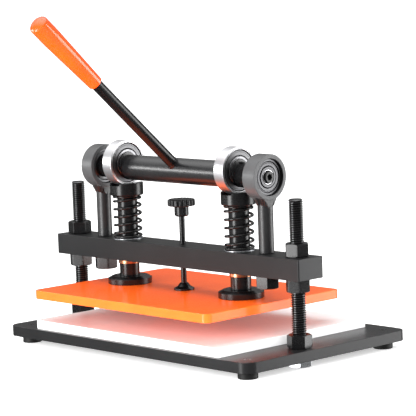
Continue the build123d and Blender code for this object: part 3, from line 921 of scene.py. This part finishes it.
def make_centre_screw():
    low, high = box_mm("centre_foot")
    foot = bmesh.new()
    lathe(foot, rounded([(0, low.z), (11.7, low.z, 0.3), (11.7, low.z + 2.0, 0.5), (9.8, low.z + 2.9, 0.4),
                         (7.6, low.z + 4.2, 0.5), (4.6, high.z, 0.6), (3.4, high.z, 0.2), (3.3, low.z + 1.0),
                         (0, low.z + 1.0)]), upright(0))
    stand_for("centre_foot", foot)

    low, high = box_mm("centre_rod")
    rod = bmesh.new()
    lathe(rod, solid_disc(3.25, low.z, high.z, 0.3), upright(0), steps=40)
    stand_for("centre_rod", rod)


FLUTES, FLUTE_R, KNOB_R = 20, 1.7, 15.7


def make_knob():
    low, high = box_mm("star_knob")
    disc_low = high.z - 8.0
    bite = 2 * atan2(FLUTE_R / 2, KNOB_R)  # half a flute's angle
    flute = ((-bite * 1.04, KNOB_R - 0.05, 0.7), (-bite * 0.62, KNOB_R - 1.45, 0.9),
             (bite * 0.62, KNOB_R - 1.45, 0.9), (bite * 1.04, KNOB_R - 0.05, 0.7))
    corners = []
    for i in range(FLUTES):
        for turn, reach, radius in flute:
            a = 2 * pi * i / FLUTES + turn
            corners.append((reach * cos(a), reach * sin(a), radius))
    outline = rounded(corners, closed=True, steps=3)
    levels = rounded([(0.7, disc_low), (0, disc_low + 0.7, 0.4), (0, high.z - 1.1, 1.4),
                      (2.2, high.z - 0.15, 1.4), (9, high.z)])
    knob = bmesh.new()
    rows = []
    for inset, z in levels:
        scale = (KNOB_R - inset) / KNOB_R
        rows.append([knob.verts.new((x * scale, PRESS_Y + y * scale, z)) for x, y in outline])
    join_and_cap(knob, rows)
    hub = rounded([(3.3, low.z + 0.2), (6.6, low.z, 0.3), (8.1, low.z + 1.6, 0.5), (8.1, disc_low - 1, 0.8),
                   (9.2, disc_low + 0.1), (3.3, disc_low + 0.1)], closed=True)
    lathe(knob, hub, upright(0), steps=56)
    stand_for("star_knob", knob)


# --- surroundings -------------------------------------------------------------------------------
FLOOR_REACH = 60000
FLOOR_GLOW = 0.5  # keeps the shadow under the press pale
WALL_R, WALL_TOP = 20000, 6000


def make_floor():
    bm = bmesh.new()
    bmesh.ops.create_grid(bm, x_segments=1, y_segments=1, size=FLOOR_REACH)
    floor = loose_object("floor", bm)
    material, tree, shader = new_material("pale_floor")
    shader.inputs["Roughness"].default_value = 0.9
    shader.inputs["Specular IOR Level"].default_value = 0.1
    patches = noise_of(tree, object_coordinates(tree), 3)
    tree.links.new(colour_between(tree, patches, (0.86, 0.86, 0.86), (0.88, 0.88, 0.88)),
                   shader.inputs["Base Color"])
    shader.inputs["Emission Color"].default_value = (1, 1, 1, 1)
    shader.inputs["Emission Strength"].default_value = FLOOR_GLOW
    floor.data.materials.append(material)
    floor.visible_glossy = False
    floor.visible_shadow = False


def make_backdrop():
    """A pale wall round the floor, far away, which hides the horizon in low views and lights nothing."""
    bm = bmesh.new()
    lathe(bm, ring_profile(WALL_R, WALL_R + 500, -100, WALL_TOP, 0, inner_edge=0))
    wall = loose_object("backdrop", bm)
    material, tree, shader = new_material("pale_wall")
    patches = noise_of(tree, object_coordinates(tree), 0.1)
    tree.links.new(colour_between(tree, patches, (0.98, 0.98, 0.98), (1, 1, 1)),
                   shader.inputs["Emission Color"])
    shader.inputs["Emission Strength"].default_value = 1.0
    shader.inputs["Roughness"].default_value = 1.0
    material.cycles.emission_sampling = "NONE"
    wall.data.materials.append(material)
    wall.visible_glossy = False
    wall.visible_diffuse = False
    wall.visible_shadow = False


def direction(azimuth, elevation):
    """Unit vector from the press towards a place; azimuth 0 is the user's side, 90 is +X."""
    a, e = radians(azimuth), radians(elevation)
    return Vector((sin(a) * cos(e), -cos(a) * cos(e), sin(e)))


LIT_PLACE = Vector((0, 0.03, 0.15))  # about the press's middle


def softbox(name, azimuth, elevation, distance, width, height, radiance, diffuse=True, glossy=True):
    """A soft rectangular light that faces the press.

    Without diffuse it shows as a highlight only, and without glossy it shows in no highlight. Lengths are in
    metres.
    """
    light = bpy.data.lights.new(name, "AREA")
    light.shape = "RECTANGLE"
    light.size, light.size_y = width, height
    light.energy = radiance * pi * width * height
    lamp = bpy.data.objects.new(name, light)
    towards = direction(azimuth, elevation)
    lamp.location = LIT_PLACE + towards * distance
    lamp.rotation_mode = "QUATERNION"
    lamp.rotation_quaternion = towards.to_track_quat("Z", "Y")
    lamp.visible_diffuse = diffuse
    lamp.visible_glossy = glossy
    bpy.context.scene.collection.objects.link(lamp)


# how bright the sky is against the sine of its height; the part below the horizon shows in gloss only
SKY = ((-1.0, 0.02), (-0.4, 0.10), (-0.05, 0.06), (0.12, 0.03), (0.3, 0.14), (0.55, 0.16), (1.0, 1.1))
SKY_STRENGTH = 2.5


def make_light():
    world = bpy.data.worlds.new("studio")
    world.use_nodes = True
    tree = world.node_tree
    background = tree.nodes["Background"]
    sky = tree.nodes.new("ShaderNodeTexCoord")
    parts = tree.nodes.new("ShaderNodeSeparateXYZ")
    tree.links.new(sky.outputs["Generated"], parts.inputs["Vector"])
    ramp = tree.nodes.new("ShaderNodeValToRGB")
    tree.links.new(between(tree, parts.outputs["Z"], 0, 1, start=-1, end=1), ramp.inputs["Fac"])
    while len(ramp.color_ramp.elements) < len(SKY):
        ramp.color_ramp.elements.new(0.5)
    for element, (height, level) in zip(ramp.color_ramp.elements, SKY):
        element.position = (height + 1) / 2
        element.color = (level, level, level, 1)
    tree.links.new(ramp.outputs["Color"], background.inputs["Color"])
    background.inputs["Strength"].default_value = SKY_STRENGTH
    bpy.context.scene.world = world
    # name, azimuth, elevation, distance, width, height, radiance
    softbox("front_box", -10, -4, 1.6, 0.6, 1.1, 9.0)
    softbox("left_strip", -52, 7, 1.6, 0.8, 0.26, 9.0, diffuse=False)
    softbox("back_right_box", 140, -2, 1.5, 0.7, 1.1, 5.0)
    softbox("left_top_box", -75, 40, 1.5, 0.9, 0.9, 0.4)
    softbox("top_fill", 0, 85, 1.8, 1.8, 1.8, 0.9, glossy=False)
    softbox("front_fill", 5, 13, 1.6, 2.2, 0.8, 8.0, glossy=False)
    softbox("right_fill", 75, 12, 0.9, 0.7, 0.5, 5.0, glossy=False)


def make_camera():
    """The camera stands to the press's right front, just above it, with a long lens."""
    target = Vector((4.65, 62.77, 156.89)) * MM
    distance, roll = 2.41582, radians(-1.96)
    back = direction(46.74, 6.73)
    right = Vector((0, 0, 1)).cross(back).normalized()
    up = back.cross(right)
    turned_right = cos(roll) * right + sin(roll) * up
    turned_up = -sin(roll) * right + cos(roll) * up
    data = bpy.data.cameras.new("camera")
    data.sensor_width = 36.0
    data.lens = 183.65
    camera = bpy.data.objects.new("camera", data)
    axes = Matrix((turned_right, turned_up, back)).transposed()
    camera.matrix_world = Matrix.Translation(target + back * distance) @ axes.to_4x4()
    bpy.context.scene.collection.objects.link(camera)
    bpy.context.scene.camera = camera


def paint_cad_nodes():
    """The CAD nodes that stay in view get their slot's full material."""
    for node, made in frame["nodes"].items():
        if not made.hide_render:
            made.data.materials.clear()
            made.data.materials.append(MATERIALS[SLOT_OF[node]])


for make in (make_base, make_feet, make_foot_screws, make_columns, make_beam, make_posts,
             make_bushes_and_washers, make_springs, make_shaft_bearings, make_rollers, make_shaft, make_hubs,
             make_lever, make_plungers, make_press_plate, make_centre_screw, make_knob, paint_cad_nodes,
             make_floor, make_backdrop, make_light, make_camera):
    make()

bpy.context.scene.view_settings.view_transform = "Standard"
